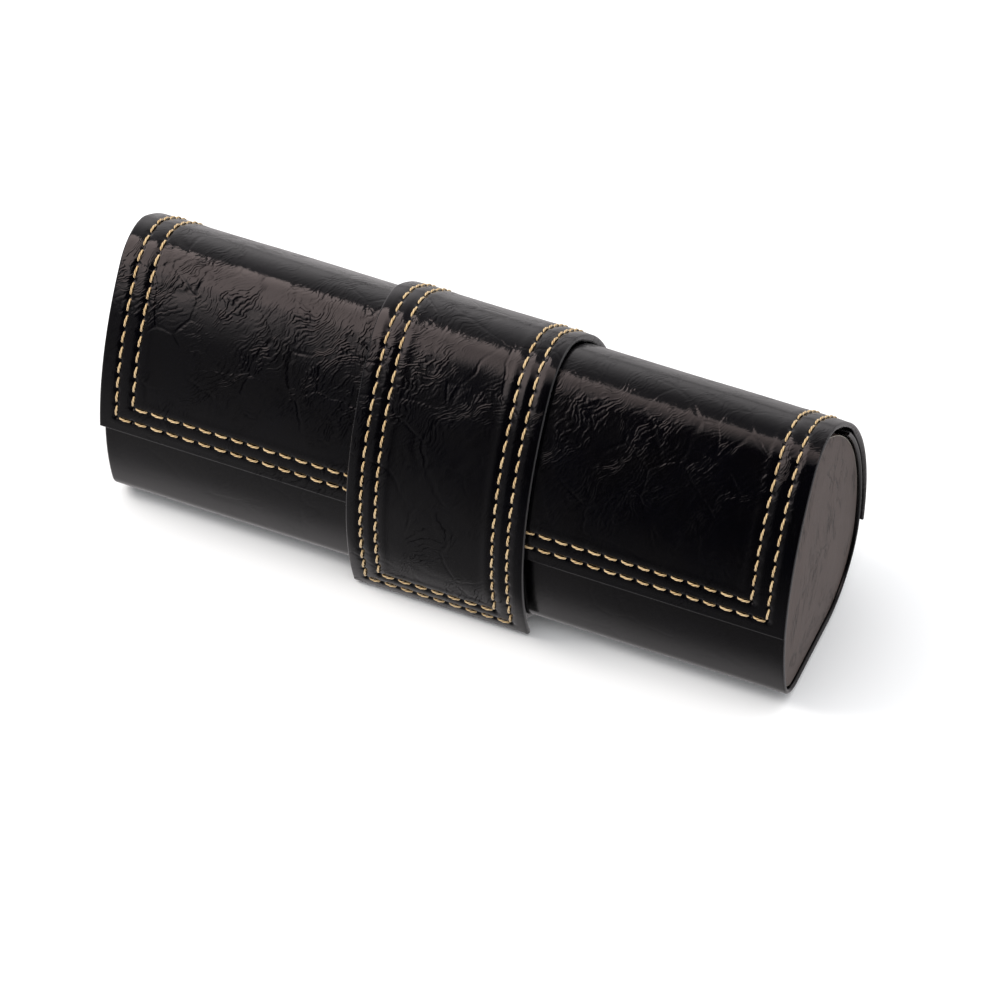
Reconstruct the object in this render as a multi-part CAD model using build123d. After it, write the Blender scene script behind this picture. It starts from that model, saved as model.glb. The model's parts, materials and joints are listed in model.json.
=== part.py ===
"""Hard eyewear case: a long trough with an arched section, a wide flap lid and a wrap-round strap.

Frame: +X along the case, -Y to the front (the side that opens), +Z up. The origin is on the surface
that the case rests on, under the middle of the whole object.

Every wall follows one section outline, the inner face of the trough. A layer is a ribbon between two
offsets of that outline, from one turn angle to another, and runs along X. Turn angles are those of
the outward normal in degrees: 0 is the back, 90 the crown, 180 the front, 270 the base. They keep
counting past 360, so the trough runs from the front lip down, under and up the back, and the flap
goes on from there over the crown and down the front again.
"""
from build123d import *
import os
from math import asin, atan2, cos, degrees, hypot, radians, sin, sqrt, tan

os.makedirs("parts", exist_ok=True)

# ---------------------------------------------------------------- driving dimensions, millimetres
# section outline: the inner face of the trough
OUTLINE_HEIGHT = 64.6
BASE_FLAT = 18.8            # flat stretch of the base, front to back
FRONT_CORNER_R = 6.6
BACK_CORNER_R = 17.6
CROWN_R = 7.0
CROWN_SHIFT = 1.8           # crown centre, behind the middle of the base flat
FRONT_WALL_R = 66.8
BACK_WALL_R = 50.4

# lengths along the case
TROUGH_LENGTH = 163.0
FLAP_OVERHANG = 0.5         # how far the flap reaches past each end of the trough
STRAP_WIDTH = 42.5
END_INSET = 0.4             # how far the end walls sit inside the trough's rims

# sheet thicknesses
LINING = 0.3
SKIN = 0.4                  # leatherette cover
TROUGH_BOARD = 0.6
END_BOARD = 1.6
FLAP_BOARD = 0.7
STRAP_BOARD = 0.8
STRAP_SKIN = 0.5
TURNED_EDGE = 3.0           # width of cover that is turned in over an edge

# clearances between the moving layers
FLAP_GAP = 0.3
STRAP_GAP = 0.3
HINGE_SLIT = 0.3

# heights above the inner face of the base
LIP_HEIGHT = 41.0           # front lip of the trough
BACK_LIP_HEIGHT = 53.0
FLAP_EDGE_HEIGHT = 24.8     # lower front edge of the closed flap
FLAP_HINGE_HEIGHT = 50.0
FLAP_TAIL_HEIGHT = 14.5     # lower edge of the part of the flap that is fixed to the back
STRAP_HINGE_HEIGHT = 60.5
STRAP_TAIL_HEIGHT = 17.5    # front end of the fixed part of the strap, hidden behind the tip
STRAP_TIP_HEIGHT = -1.9     # lower edge of the strap's loose end
RAMP_LENGTH = 6.5           # how far the fixed strap takes to step up over the flap's tail

# travel
FLAP_TRAVEL = 120.0
STRAP_TRAVEL = 90.0

# magnet in the loose end, with a steel plate behind it in the fixed end
MAGNET_LENGTH = 26.0
MAGNET_LOW = 3.5
MAGNET_HIGH = 12.5
PLATE_MARGIN = 1.5
POCKET_CLEARANCE = 0.1

# seams: two rows of thread, sunk into the cover
THREAD_WIDTH = 0.7
THREAD_SINK = 0.25
THREAD_PROUD = 0.1
FLAP_ROWS = (4.3, 8.3)      # distance of each row from the flap's edges
STRAP_ROWS = (3.7, 7.3)

# ---------------------------------------------------------------- offsets of the layers from the outline
TROUGH_OUTER = LINING + TROUGH_BOARD + SKIN
FLAP_LENGTH = TROUGH_LENGTH + 2 * FLAP_OVERHANG
FLAP_INNER = TROUGH_OUTER + FLAP_GAP
FLAP_OUTER = FLAP_INNER + LINING + FLAP_BOARD + SKIN
STRAP_INNER = FLAP_OUTER + STRAP_GAP
STRAP_OUTER = STRAP_INNER + LINING + STRAP_BOARD + STRAP_SKIN
TAIL_THICKNESS = STRAP_OUTER - STRAP_INNER - LINING

TURN = 360.0
BASE_ANGLE = 270.0


class Arc:
    """One arc of the outline: centre, radius and the turn angles where it starts and ends."""

    def __init__(self, centre, radius, start, end):
        self.centre = centre
        self.radius = radius
        self.start = start
        self.end = end

    def point(self, angle, offset):
        reach = self.radius + offset
        return (self.centre[0] + reach * cos(radians(angle)), self.centre[1] + reach * sin(radians(angle)))


def wall_centre(corner, corner_r, crown, wall_r, side):
    """Centre of the arc of radius wall_r that runs tangent into a corner arc and into the crown arc."""
    across = (crown[0] - corner[0], crown[1] - corner[1])
    span = hypot(*across)
    to_corner = wall_r - corner_r
    to_crown = wall_r - CROWN_R
    along = (to_corner ** 2 - to_crown ** 2 + span ** 2) / (2 * span)
    out = side * sqrt(to_corner ** 2 - along ** 2)
    unit = (across[0] / span, across[1] / span)
    return (corner[0] + unit[0] * along - unit[1] * out, corner[1] + unit[1] * along + unit[0] * out)


def bearing(start, end):
    return degrees(atan2(end[1] - start[1], end[0] - start[0]))


def section_arcs():
    """The outline's arcs over two turns, in order of turn angle, in its own (y, z) plane."""
    front_corner = (-BASE_FLAT / 2, FRONT_CORNER_R)
    back_corner = (BASE_FLAT / 2, BACK_CORNER_R)
    crown = (CROWN_SHIFT, OUTLINE_HEIGHT - CROWN_R)
    front_wall = wall_centre(front_corner, FRONT_CORNER_R, crown, FRONT_WALL_R, -1)
    back_wall = wall_centre(back_corner, BACK_CORNER_R, crown, BACK_WALL_R, 1)
    front_top = bearing(front_wall, crown)
    front_low = bearing(front_wall, front_corner) % TURN
    back_low = bearing(back_wall, back_corner)
    back_top = bearing(back_wall, crown)
    one_turn = [
        (front_wall, FRONT_WALL_R, front_top, front_low),
        (front_corner, FRONT_CORNER_R, front_low, BASE_ANGLE),
        (back_corner, BACK_CORNER_R, BASE_ANGLE, TURN + back_low),
        (back_wall, BACK_WALL_R, TURN + back_low, TURN + back_top),
        (crown, CROWN_R, TURN + back_top, TURN + front_top),
    ]
    return [Arc(c, r, a + lap, b + lap) for lap in (0.0, TURN) for c, r, a, b in one_turn]


ARCS = section_arcs()
FRONT_WALL, FRONT_CORNER, BACK_CORNER, BACK_WALL, CROWN = ARCS[:5]
FLAP_FRONT_WALL = ARCS[5]

# the strap's loose end leaves the corner and carries on along the front wall
TIP_REACH = 12.0
STRAP_ARCS = ARCS[3:5] + [
    Arc(FLAP_FRONT_WALL.centre, FRONT_WALL_R, FLAP_FRONT_WALL.start, FLAP_FRONT_WALL.end + TIP_REACH)
]

# where the outline stands in the part's frame
FRONT_REACH = FRONT_WALL.centre[0] - (FRONT_WALL_R + STRAP_OUTER)
BACK_REACH = BACK_WALL.centre[0] + BACK_WALL_R + STRAP_OUTER
SHIFT_Y = -(FRONT_REACH + BACK_REACH) / 2
SHIFT_Z = TROUGH_OUTER + TAIL_THICKNESS


def place(point, x):
    """A point of the section plane, in the part's frame, at a station along X."""
    return Vector(x, point[0] + SHIFT_Y, point[1] + SHIFT_Z)


def front_angle(height, offset=0.0):
    """Turn angle on the front wall (first turn) at a height above the inner base."""
    return 180.0 - degrees(asin((height - FRONT_WALL.centre[1]) / (FRONT_WALL_R + offset)))


def back_angle(height, offset=0.0):
    """Turn angle at the back at a height above the inner base."""
    joint_height = BACK_WALL.point(BACK_WALL.start, offset)[1]
    arc = BACK_WALL if height > joint_height else BACK_CORNER
    return TURN + degrees(asin((height - arc.centre[1]) / (arc.radius + offset)))


def along(angle, distance, offset=0.0, arcs=ARCS):
    """Turn angle reached by going a distance along the outline, at an offset; back if negative."""
    forward = distance >= 0
    left = abs(distance)
    for arc in arcs if forward else reversed(arcs):
        low = max(arc.start, angle) if forward else arc.start
        high = arc.end if forward else min(arc.end, angle)
        run = radians(high - low) * (arc.radius + offset)
        if high <= low:
            continue
        if run >= left:
            turned = degrees(left / (arc.radius + offset))
            return low + turned if forward else high - turned
        left -= run
    raise ValueError("the outline ends before that distance")


# ---------------------------------------------------------------- building blocks
def contour(offset, start, end, x, arcs=ARCS):
    """Edges at one offset from one turn angle to another, with the base flat between its corners."""
    edges = []
    last = None
    for arc in arcs:
        low = max(arc.start, start)
        high = min(arc.end, end)
        if high - low < 1e-6:
            continue
        points = [place(arc.point(a, offset), x) for a in (low, (low + high) / 2, high)]
        if last is not None and (points[0] - last).length > 1e-6:
            edges.append(Line(last, points[0]))
        edges.append(ThreePointArc(*points))
        last = points[2]
    return edges


def ribbon(inner, outer, start, end, x_low, x_high, arcs=ARCS):
    """A sheet between two offsets, from one turn angle to another, between two stations along X."""
    outer_edges = contour(outer, start, end, x_low, arcs)
    inner_edges = contour(inner, start, end, x_low, arcs)
    ends = [Line(inner_edges[0] @ 0, outer_edges[0] @ 0), Line(inner_edges[-1] @ 1, outer_edges[-1] @ 1)]
    face = Face(Wire(outer_edges + inner_edges + ends))
    return extrude(face, amount=x_high - x_low, dir=(1, 0, 0))


def plate(offset, x_low, x_high):
    """A wall across the case: the whole outline at one offset, filled."""
    start = FRONT_WALL.start
    edges = contour(offset, start, start + TURN, x_low)
    return extrude(Face(Wire(edges)), amount=x_high - x_low, dir=(1, 0, 0))


def laminate(inner, outer, start, end, half, lining, skin, turned, arcs=ARCS):
    """Cover, board and lining of a sheet. turned says which of its two ends the cover wraps."""
    wraps = [float(turns_in) for turns_in in turned]
    whole = ribbon(inner, outer, start, end, -half, half, arcs)
    board = ribbon(inner + lining, outer - skin,
                   along(start, skin * wraps[0], outer, arcs), along(end, -skin * wraps[1], outer, arcs),
                   skin - half, half - skin, arcs)
    if lining == 0:
        return whole - board, board, None
    sheet = ribbon(inner, inner + lining,
                   along(start, TURNED_EDGE * wraps[0], inner, arcs),
                   along(end, -TURNED_EDGE * wraps[1], inner, arcs),
                   TURNED_EDGE - half, half - TURNED_EDGE, arcs)
    return whole - board - sheet, board, sheet


def seam(surface, start, end, half, row, closed_end, closed_start=False, arcs=ARCS):
    """Thread of one row: both sides of a sheet, and across its ends where closed."""
    low = surface - THREAD_SINK
    high = surface + THREAD_PROUD
    inset = row - THREAD_WIDTH / 2
    first = along(start, inset * closed_start, surface, arcs)
    last = along(end, -inset * closed_end, surface, arcs)
    edge = half - inset
    thread = ribbon(low, high, first, last, -edge, THREAD_WIDTH - edge, arcs)
    thread += ribbon(low, high, first, last, edge - THREAD_WIDTH, edge, arcs)
    if closed_end:
        thread += ribbon(low, high, along(last, -THREAD_WIDTH, surface, arcs), last, -edge, edge, arcs)
    if closed_start:
        thread += ribbon(low, high, first, along(first, THREAD_WIDTH, surface, arcs), -edge, edge, arcs)
    return thread


nodes = {}

# ---------------------------------------------------------------- turn angles of the ends and hinges
lip = front_angle(LIP_HEIGHT)
back_lip = back_angle(BACK_LIP_HEIGHT)
flap_hinge = back_angle(FLAP_HINGE_HEIGHT)
flap_edge = TURN + front_angle(FLAP_EDGE_HEIGHT, FLAP_OUTER)
flap_tail_end = back_angle(FLAP_TAIL_HEIGHT)
strap_hinge = back_angle(STRAP_HINGE_HEIGHT)
strap_tip = TURN + front_angle(STRAP_TIP_HEIGHT, STRAP_OUTER)
strap_tail_end = front_angle(STRAP_TAIL_HEIGHT)

# a sheet that stands proud of a hinge line stops far enough from it to fold over
STRAP_RISE = STRAP_OUTER - FLAP_OUTER
FLAP_FOLD = STRAP_RISE * tan(radians(FLAP_TRAVEL / 2)) + HINGE_SLIT
STRAP_FOLD = STRAP_RISE * tan(radians(STRAP_TRAVEL / 2)) + HINGE_SLIT
flap_start = along(flap_hinge, HINGE_SLIT / 2, FLAP_OUTER)
flap_tail_top = along(flap_hinge, -HINGE_SLIT / 2, FLAP_OUTER)
strap_tail_top = along(flap_hinge, -FLAP_FOLD, FLAP_OUTER)
strap_root_start = along(flap_hinge, FLAP_FOLD, FLAP_OUTER)
strap_root_end = along(strap_hinge, -STRAP_FOLD, FLAP_OUTER)
strap_start = along(strap_hinge, STRAP_FOLD, FLAP_OUTER)


# ---------------------------------------------------------------- trough and its two end walls
def build_trough():
    cover, board, lining = laminate(0.0, TROUGH_OUTER, lip, back_lip, TROUGH_LENGTH / 2,
                                    LINING, SKIN, (True, True))
    nodes["trough_cover"] = cover
    nodes["trough_board"] = board
    nodes["trough_lining"] = lining


def build_end_wall(side, sign):
    face_x = TROUGH_LENGTH / 2 - END_INSET
    back_x = face_x - SKIN - END_BOARD
    lining_x = back_x - LINING
    whole = plate(0.0, back_x, face_x)
    board = plate(-SKIN, back_x, face_x - SKIN)
    lining = plate(-SKIN, lining_x, back_x)
    pieces = {"cover": whole - board, "board": board, "lining": lining}
    for name, piece in pieces.items():
        nodes[f"{side}_end_{name}"] = piece if sign > 0 else mirror(piece, about=Plane.YZ)


# ---------------------------------------------------------------- flap: loose part and fixed tail
def build_flap():
    half = FLAP_LENGTH / 2
    cover, board, lining = laminate(FLAP_INNER, FLAP_OUTER, flap_start, flap_edge, half,
                                    LINING, SKIN, (False, True))
    outer_row, inner_row = [seam(FLAP_OUTER, flap_start, flap_edge, half, row, True)
                            for row in FLAP_ROWS]
    nodes["flap_cover"] = cover - outer_row - inner_row
    nodes["flap_board"] = board
    nodes["flap_lining"] = lining
    nodes["flap_outer_stitching"] = outer_row
    nodes["flap_inner_stitching"] = inner_row


def build_flap_tail():
    tail_half = TROUGH_LENGTH / 2
    cover, board, _ = laminate(TROUGH_OUTER, FLAP_OUTER, flap_tail_end, flap_tail_top, tail_half,
                               0, SKIN, (True, False))
    rows = [seam(FLAP_OUTER, flap_tail_end, flap_tail_top, tail_half, row - FLAP_OVERHANG, False, True)
            for row in FLAP_ROWS]
    stitching = rows[0] + rows[1]
    nodes["flap_tail_cover"] = cover - stitching
    nodes["flap_tail_board"] = board
    nodes["flap_tail_stitching"] = stitching


# ---------------------------------------------------------------- strap: loose end, root and fixed tail
def build_strap():
    half = STRAP_WIDTH / 2
    cover, board, lining = laminate(STRAP_INNER, STRAP_OUTER, strap_start, strap_tip, half,
                                    LINING, STRAP_SKIN, (True, True), STRAP_ARCS)
    low = STRAP_INNER + LINING
    high = low + STRAP_BOARD
    magnet_start = TURN + front_angle(MAGNET_HIGH, low)
    magnet_end = TURN + front_angle(MAGNET_LOW, low)
    reach = MAGNET_LENGTH / 2
    pocket = ribbon(low, high,
                    along(magnet_start, -POCKET_CLEARANCE, low), along(magnet_end, POCKET_CLEARANCE, low),
                    -reach - POCKET_CLEARANCE, reach + POCKET_CLEARANCE, STRAP_ARCS)
    outer_row, inner_row = [seam(STRAP_OUTER, strap_start, strap_tip, half, row, True, False, STRAP_ARCS)
                            for row in STRAP_ROWS]
    nodes["strap_cover"] = cover - outer_row - inner_row
    nodes["strap_board"] = board - pocket
    nodes["strap_lining"] = lining
    nodes["strap_magnet"] = ribbon(low, high, magnet_start, magnet_end, -reach, reach, STRAP_ARCS)
    nodes["strap_outer_stitching"] = outer_row
    nodes["strap_inner_stitching"] = inner_row


def build_strap_root():
    half = STRAP_WIDTH / 2
    cover, board, _ = laminate(FLAP_OUTER + THREAD_PROUD, STRAP_OUTER, strap_root_start, strap_root_end, half,
                               0, STRAP_SKIN, (False, False))
    rows = [seam(STRAP_OUTER, strap_root_start, strap_root_end, half, row, False) for row in STRAP_ROWS]
    stitching = rows[0] + rows[1]
    nodes["strap_root_cover"] = cover - stitching
    nodes["strap_root_board"] = board
    nodes["strap_root_stitching"] = stitching


def tail_shape(trim, half):
    """The fixed tail, thinned by trim on its outside: low under the base, stepped up over the flap tail."""
    low_outer = TROUGH_OUTER + TAIL_THICKNESS - trim
    high_outer = STRAP_OUTER - trim
    ramp_start = along(flap_tail_end, -RAMP_LENGTH, STRAP_OUTER)
    front = along(strap_tail_end, trim, TROUGH_OUTER)
    shape = ribbon(TROUGH_OUTER, low_outer, front, ramp_start, -half, half)
    inner_edges = contour(TROUGH_OUTER, ramp_start, flap_tail_end, -half)
    foot = contour(low_outer, ramp_start, flap_tail_end, -half)[0] @ 0
    head = contour(high_outer, ramp_start, flap_tail_end, -half)[-1] @ 1
    ramp_edges = inner_edges + [
        Line(inner_edges[0] @ 0, foot),
        Line(foot, head),
        Line(head, inner_edges[-1] @ 1),
    ]
    shape += extrude(Face(Wire(ramp_edges)), amount=2 * half, dir=(1, 0, 0))
    shape += ribbon(FLAP_OUTER + THREAD_PROUD, high_outer, flap_tail_end, strap_tail_top, -half, half)
    return shape


def build_strap_tail():
    half = STRAP_WIDTH / 2
    whole = tail_shape(0.0, half)
    board = tail_shape(STRAP_SKIN, half - STRAP_SKIN)
    rows = [seam(STRAP_OUTER, flap_tail_end, strap_tail_top, half, row, False) for row in STRAP_ROWS]
    stitching = rows[0] + rows[1]
    low = TROUGH_OUTER
    high = low + STRAP_BOARD
    plate_start = front_angle(MAGNET_HIGH + PLATE_MARGIN, low)
    plate_end = front_angle(MAGNET_LOW - PLATE_MARGIN, low)
    reach = MAGNET_LENGTH / 2 + PLATE_MARGIN
    pocket = ribbon(low, high,
                    along(plate_start, -POCKET_CLEARANCE, low), along(plate_end, POCKET_CLEARANCE, low),
                    -reach - POCKET_CLEARANCE, reach + POCKET_CLEARANCE)
    nodes["strap_tail_cover"] = whole - board - stitching
    nodes["strap_tail_board"] = board - pocket
    nodes["strap_tail_stitching"] = stitching
    nodes["strike_plate"] = ribbon(low, high, plate_start, plate_end, -reach, reach)


build_trough()
build_end_wall("left", -1)
build_end_wall("right", 1)
build_flap()
build_flap_tail()
build_strap()
build_strap_root()
build_strap_tail()

for name, shape in nodes.items():
    export_step(shape, f"parts/{name}.step")

flap_axis = place(BACK_WALL.point(flap_hinge, FLAP_OUTER), 0.0)
strap_axis = place(BACK_WALL.point(strap_hinge, FLAP_OUTER), 0.0)
print("flap hinge, y and z:", round(flap_axis.Y, 4), round(flap_axis.Z, 4))
print("strap hinge, y and z:", round(strap_axis.Y, 4), round(strap_axis.Z, 4))
whole = Compound(children=[Part(s.wrapped) if not isinstance(s, Part) else s for s in nodes.values()])
box = whole.bounding_box()
print("size:", box.size, "centre:", box.center())
print("middle of the base flat, y:", round(SHIFT_Y, 4))
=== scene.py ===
# %% [markdown]
# # A leather eyewear case, piece by piece
# This lesson dresses a small hard case: a long trough of arched section, a wide flap and a strap that
# wraps round its middle. The construction model already holds the boards, hinges and sizes. Here the
# leather is laid over it as real sheets with rounded edges, sewn seams and creases. We start by loading
# that model. Every measure below is in millimetres until the last moment, when it turns into metres.

# %% Load the construction model
import json
from math import cos, pi, radians, sin, sqrt

import bmesh
import bpy
import numpy as np
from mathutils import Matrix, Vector


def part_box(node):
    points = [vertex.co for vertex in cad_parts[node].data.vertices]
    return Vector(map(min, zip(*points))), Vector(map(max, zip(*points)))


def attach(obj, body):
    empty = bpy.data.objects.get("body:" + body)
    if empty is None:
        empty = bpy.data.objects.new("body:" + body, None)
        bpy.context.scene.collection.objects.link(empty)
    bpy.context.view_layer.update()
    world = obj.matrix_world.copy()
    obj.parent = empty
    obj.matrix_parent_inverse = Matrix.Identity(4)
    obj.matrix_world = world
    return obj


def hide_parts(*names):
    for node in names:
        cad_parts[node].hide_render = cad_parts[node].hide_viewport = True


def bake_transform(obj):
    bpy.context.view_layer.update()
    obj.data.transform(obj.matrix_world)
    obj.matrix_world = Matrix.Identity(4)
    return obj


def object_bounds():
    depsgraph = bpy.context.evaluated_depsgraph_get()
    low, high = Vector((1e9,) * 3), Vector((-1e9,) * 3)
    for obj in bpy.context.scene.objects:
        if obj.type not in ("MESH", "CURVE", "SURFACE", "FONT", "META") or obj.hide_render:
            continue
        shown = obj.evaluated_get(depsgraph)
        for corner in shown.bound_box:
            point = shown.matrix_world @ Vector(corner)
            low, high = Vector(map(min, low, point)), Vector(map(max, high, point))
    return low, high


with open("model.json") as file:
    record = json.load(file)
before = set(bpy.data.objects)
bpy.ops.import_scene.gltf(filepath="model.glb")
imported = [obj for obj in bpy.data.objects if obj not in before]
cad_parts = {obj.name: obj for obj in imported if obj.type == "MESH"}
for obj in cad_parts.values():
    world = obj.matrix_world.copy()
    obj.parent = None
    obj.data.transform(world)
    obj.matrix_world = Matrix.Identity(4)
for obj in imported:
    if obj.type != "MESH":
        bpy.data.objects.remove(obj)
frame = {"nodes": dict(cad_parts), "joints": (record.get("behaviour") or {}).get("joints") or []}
cad_low, cad_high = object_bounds()
MM = 0.001
print("construction box in mm:", [round((h - l) / MM, 1) for l, h in zip(cad_low, cad_high)])

# %% [markdown]
# ## The section
# Seen from its end the case is an arch: a flat base, a tight front corner, a round back corner, two
# walls that lean together and a small round crown. We could trace points, but a chain of tangent arcs
# needs only eight numbers and stays perfectly smooth, which glossy leather shows at once. Each layer
# of the case is the same chain moved outwards, so one outline serves every sheet.

# %% The arcs of the outline
OUTLINE_HEIGHT = 64.6
BASE_FLAT = 18.8
FRONT_CORNER_R = 6.6
BACK_CORNER_R = 17.6
CROWN_R = 7.0
CROWN_SHIFT = 1.8
FRONT_WALL_R = 66.8
BACK_WALL_R = 50.4
TURN = 2 * pi


def wall_centre(corner, corner_r, crown, wall_r, side):
    """Centre of the arc that runs tangent into a corner arc and into the crown arc."""
    across = crown - corner
    span = np.hypot(*across)
    to_corner, to_crown = wall_r - corner_r, wall_r - CROWN_R
    forward = (to_corner ** 2 - to_crown ** 2 + span ** 2) / (2 * span)
    sideways = side * sqrt(to_corner ** 2 - forward ** 2)
    unit = across / span
    return corner + unit * forward + np.array([-unit[1], unit[0]]) * sideways


def bearing(start, end):
    """Direction from one centre to another, in radians."""
    return np.arctan2(end[1] - start[1], end[0] - start[0])


def outline_arcs():
    """(centre, radius, start, end) of each arc over two turns, by the angle of its outward normal."""
    front_corner = np.array([-BASE_FLAT / 2, FRONT_CORNER_R])
    back_corner = np.array([BASE_FLAT / 2, BACK_CORNER_R])
    crown = np.array([CROWN_SHIFT, OUTLINE_HEIGHT - CROWN_R])
    front_wall = wall_centre(front_corner, FRONT_CORNER_R, crown, FRONT_WALL_R, -1)
    back_wall = wall_centre(back_corner, BACK_CORNER_R, crown, BACK_WALL_R, 1)
    front_top, front_low = bearing(front_wall, crown), bearing(front_wall, front_corner) % TURN
    back_low, back_top = bearing(back_wall, back_corner), bearing(back_wall, crown)
    one_turn = [
        (front_wall, FRONT_WALL_R, front_top, front_low),
        (front_corner, FRONT_CORNER_R, front_low, 0.75 * TURN),
        (back_corner, BACK_CORNER_R, 0.75 * TURN, TURN + back_low),
        (back_wall, BACK_WALL_R, TURN + back_low, TURN + back_top),
        (crown, CROWN_R, TURN + back_top, TURN + front_top),
    ]
    return [(c, r, a + lap, b + lap) for lap in (0.0, TURN) for c, r, a, b in one_turn]


ARCS = outline_arcs()
FRONT_WALL, BACK_WALL, FLAP_FRONT = ARCS[0], ARCS[3], ARCS[5]
TIP_REACH = radians(12.0)
STRAP_ARCS = ARCS[3:5] + [(FLAP_FRONT[0], FLAP_FRONT[1], FLAP_FRONT[2], FLAP_FRONT[3] + TIP_REACH)]
print("arcs per turn:", len(ARCS) // 2)

# %% [markdown]
# ## Layers and landmarks
# Board, leather and lining stack up outwards from the trough's inner face. These thicknesses are the
# ones the case is built with. The outline has its own origin at the middle of the base, so two shifts
# carry it into the model's frame. They come from the model itself: the end wall stands on the
# outline, so its box says where the outline lies.

# %% Offsets, heights and the shift into the frame
TROUGH_OUTER = 1.3
FLAP_INNER, FLAP_OUTER = 1.6, 3.0
STRAP_INNER, STRAP_OUTER = 3.3, 4.9
STRAP_FIXED_THICKNESS = 1.3
LIP_HEIGHT, BACK_LIP_HEIGHT = 41.0, 53.0
FLAP_EDGE_HEIGHT = 24.8
FLAP_TAIL_HEIGHT = 14.5
STRAP_TAIL_HEIGHT = 17.5
STRAP_TIP_HEIGHT = -1.9

end_low, end_high = [np.array(corner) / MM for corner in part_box("right_end_cover")]
trough_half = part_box("trough_cover")[1][0] / MM
flap_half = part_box("flap_cover")[1][0] / MM
strap_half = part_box("strap_cover")[1][0] / MM
back_reach = BACK_WALL[0][0] + BACK_WALL_R
SHIFT = np.array([end_high[1] - back_reach, end_low[2]])
hinges = {j["name"]: np.array(j["pos_m"])[1:] / MM - SHIFT for j in frame["joints"]}
print("outline origin in the frame, y and z:", SHIFT.round(2))
print("hinges in the outline's plane:", {name: at.round(2).tolist() for name, at in hinges.items()})


def front_angle(height, offset=0.0):
    """Normal angle on the front wall at a height above the inner base."""
    return pi - np.arcsin((height - FRONT_WALL[0][1]) / (FRONT_WALL_R + offset))


def back_angle(height):
    """Normal angle at the back at a height above the inner base."""
    arc = BACK_WALL if height > BACK_WALL[0][1] + BACK_WALL_R * sin(BACK_WALL[2]) else ARCS[2]
    return TURN + np.arcsin((height - arc[0][1]) / arc[1])


def hinge_angle(name):
    """Normal angle of a hinge line, which lies on the back wall."""
    return TURN + bearing(BACK_WALL[0], hinges[name])


# %% [markdown]
# ## Walking along the outline
# A sheet is cut flat, so its stitches, creases and edges are laid out in flat measures: across (u,
# along the case) and along (v, round the section). This class bends the flat sheet round the arcs. It
# measures v on the sheet's outer face, and gives for each v a centre, a radius and a normal. Any layer
# at that v is then centre + (radius + offset) * normal.

# %% A path that bends flat measures round the section
class Path:
    """A stretch of the outline from one normal angle to another, measured at one offset."""

    def __init__(self, start, end, offset, arcs=ARCS):
        self.start, self.end = start, end
        self.pieces = []
        length = 0.0
        last_end = None
        for centre, radius, arc_start, arc_end in arcs:
            low, high = max(arc_start, start), min(arc_end, end)
            if high - low < 1e-9:
                continue
            if last_end is not None and abs(low - 0.75 * TURN) < 1e-6:
                foot = np.array([-BASE_FLAT / 2, 0.0])
                self.pieces.append((length, length + BASE_FLAT, foot, 0.0, low, low))
                length += BASE_FLAT
            run = (high - low) * (radius + offset)
            self.pieces.append((length, length + run, centre, radius, low, high))
            length += run
            last_end = high
        self.length = length

    def at(self, v):
        """Centre, radius and normal at each distance v."""
        v = np.clip(np.asarray(v, float), 0.0, self.length)
        centre = np.zeros(v.shape + (2,))
        radius = np.zeros(v.shape)
        angle = np.zeros(v.shape)
        for low, high, middle, reach, first, last in self.pieces:
            inside = (v >= low - 1e-9) & (v <= high + 1e-9)
            share = (v[inside] - low) / (high - low)
            angle[inside] = first + share * (last - first)
            radius[inside] = reach
            centre[inside] = middle
            if reach == 0.0:
                centre[inside] = middle + np.outer(share * BASE_FLAT, [1.0, 0.0])
        return centre, radius, np.stack([np.cos(angle), np.sin(angle)], -1)

    def place(self, u, v, offset):
        """Points in the frame, in millimetres, of flat places (u, v) on the layer at an offset."""
        centre, radius, normal = self.at(v)
        section = centre + (radius + offset)[..., None] * normal + SHIFT
        return np.concatenate([np.broadcast_to(u, radius.shape)[..., None], section], -1)

    def distance_to(self, angle):
        """Flat distance from the path's start to a normal angle."""
        for low, high, _, reach, first, last in self.pieces:
            if reach and first <= angle <= last:
                return low + (angle - first) / (last - first) * (high - low)
        raise ValueError("the path doesn't pass that angle")


# %% [markdown]
# ## Creases in numbers
# Creased leather is uneven at every size. Blender has noise textures, but those live in the shader. To
# move vertices we need noise in Python, and for two hundred thousand vertices it has to be fast. So
# this is gradient noise written for whole arrays, from a seeded table, which gives the same hide on
# every run.

# %% Gradient noise for arrays
def lattice_noise(x, y, seed):
    """Smooth noise of about -0.7 to 0.7, one unit to a cell."""
    table = np.random.default_rng(seed).uniform(0, TURN, (97, 89))
    column, row = np.floor(x).astype(int), np.floor(y).astype(int)
    fx, fy = x - column, y - row

    def corner(i, j):
        turn = table[(column + i) % 97, (row + j) % 89]
        return np.cos(turn) * (fx - i) + np.sin(turn) * (fy - j)

    sx, sy = fx ** 3 * (fx * (6 * fx - 15) + 10), fy ** 3 * (fy * (6 * fy - 15) + 10)
    near = corner(0, 0) * (1 - sx) + corner(1, 0) * sx
    far = corner(0, 1) * (1 - sx) + corner(1, 1) * sx
    return near * (1 - sy) + far * sy


def smoothstep(low, high, value):
    """0 below low, 1 above high, smooth in between."""
    share = np.clip((value - low) / (high - low), 0.0, 1.0)
    return share * share * (3 - 2 * share)


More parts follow.
